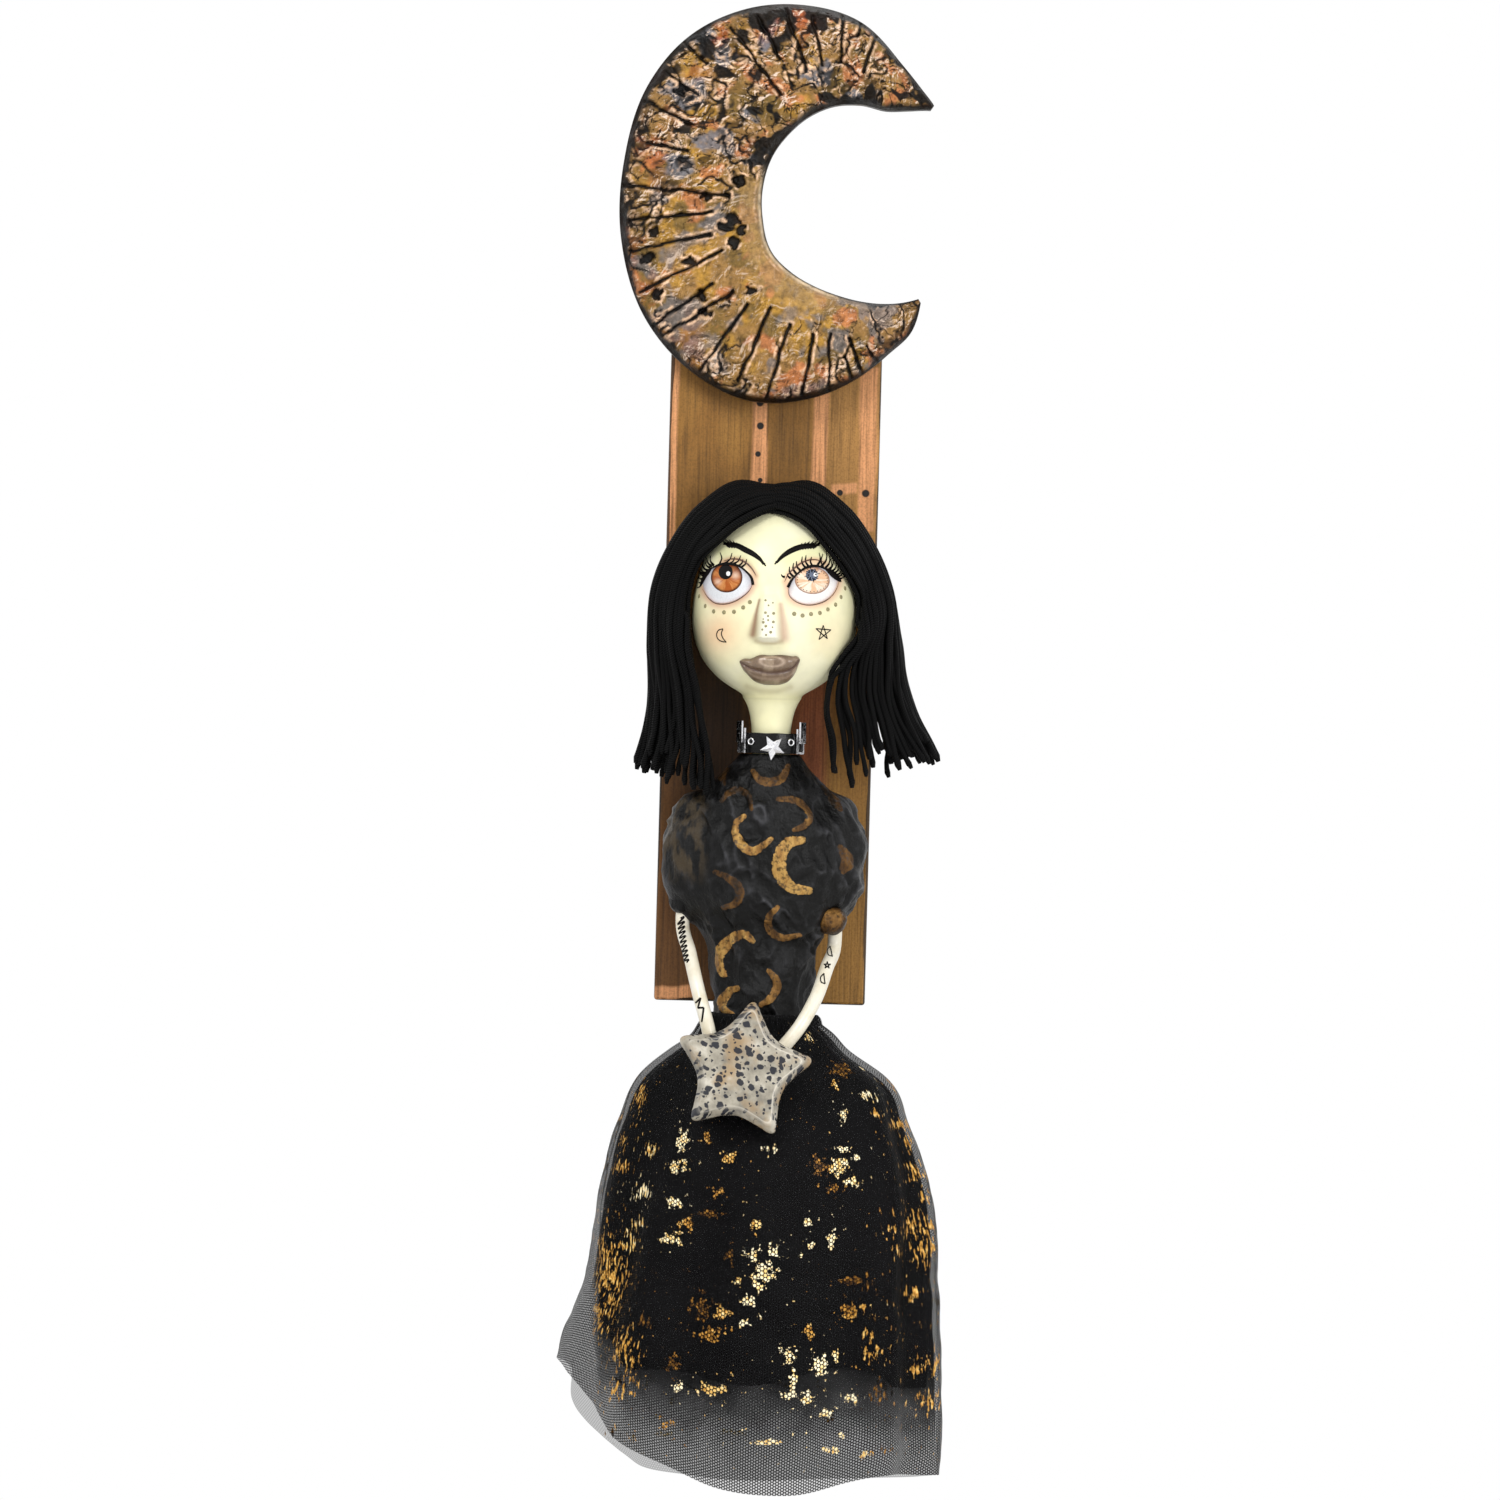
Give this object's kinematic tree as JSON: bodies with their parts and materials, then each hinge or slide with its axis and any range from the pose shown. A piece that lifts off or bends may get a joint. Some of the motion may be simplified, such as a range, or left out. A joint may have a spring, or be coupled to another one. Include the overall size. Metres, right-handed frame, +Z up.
{
  "type": "wall doll",
  "caption": "Wall doll with yarn hair and a tulle skirt, mounted on a painted board under a crescent moon and holding a stone star; hangs by a sawtooth hanger.",
  "frame": {"origin": "centre of the board's flat back face, which lies on the wall", "axes": "+Z up along the board, +Y into the wall, +X to the right of someone facing the doll; the doll looks along -Y"},
  "size_m": [0.1606, 0.0965, 0.6246],
  "materials": {
    "painted_wood": "metallic bronze and copper wash over pine",
    "zinc_steel": "zinc-plated",
    "antique_gold_paint": "antique gold, bronze and silver paint over a textured paste crescent",
    "pale_painted_clay": "pale yellow painted and varnished modelling clay",
    "taupe_lip_paint": "taupe painted modelling clay",
    "black_yarn": "black yarn",
    "black_patent_leather": "black, glossy",
    "silver_plate": "bright silver plate",
    "black_painted_paper": "black painted papier-mache with gold crescents",
    "cream_tube": "cream clay over wire",
    "spotted_stone": "polished, dark spots",
    "black_tulle": "black net with gold foil flecks",
    "black_lining": "black lining"
  },
  "bodies": {
    "root": {"arm_left": "cream_tube", "arm_right": "cream_tube", "backboard": "painted_wood", "bodice": "black_painted_paper", "buckle_left": "silver_plate", "buckle_right": "silver_plate", "buckle_tab_left": "silver_plate", "buckle_tab_right": "silver_plate", "choker_star": "silver_plate", "choker_strap": "black_patent_leather", "crescent_moon": "antique_gold_paint", "eyelet_left": "silver_plate", "eyelet_right": "silver_plate", "hair_left_1": "black_yarn", "hair_left_2": "black_yarn", "hair_left_3": "black_yarn", "hair_left_4": "black_yarn", "hair_left_5": "black_yarn", "hair_left_6": "black_yarn", "hair_left_7": "black_yarn", "hair_right_1": "black_yarn", "hair_right_2": "black_yarn", "hair_right_3": "black_yarn", "hair_right_4": "black_yarn", "hair_right_5": "black_yarn", "hair_right_6": "black_yarn", "hair_right_7": "black_yarn", "hanger_nail_left": "zinc_steel", "hanger_nail_right": "zinc_steel", "head": "pale_painted_clay", "lips": "taupe_lip_paint", "sawtooth_hanger": "zinc_steel", "skirt_lining": "black_lining", "skirt_middle_net": "black_tulle", "skirt_outer_net": "black_tulle", "stone_star": "spotted_stone"}
  },
  "joints": []
}
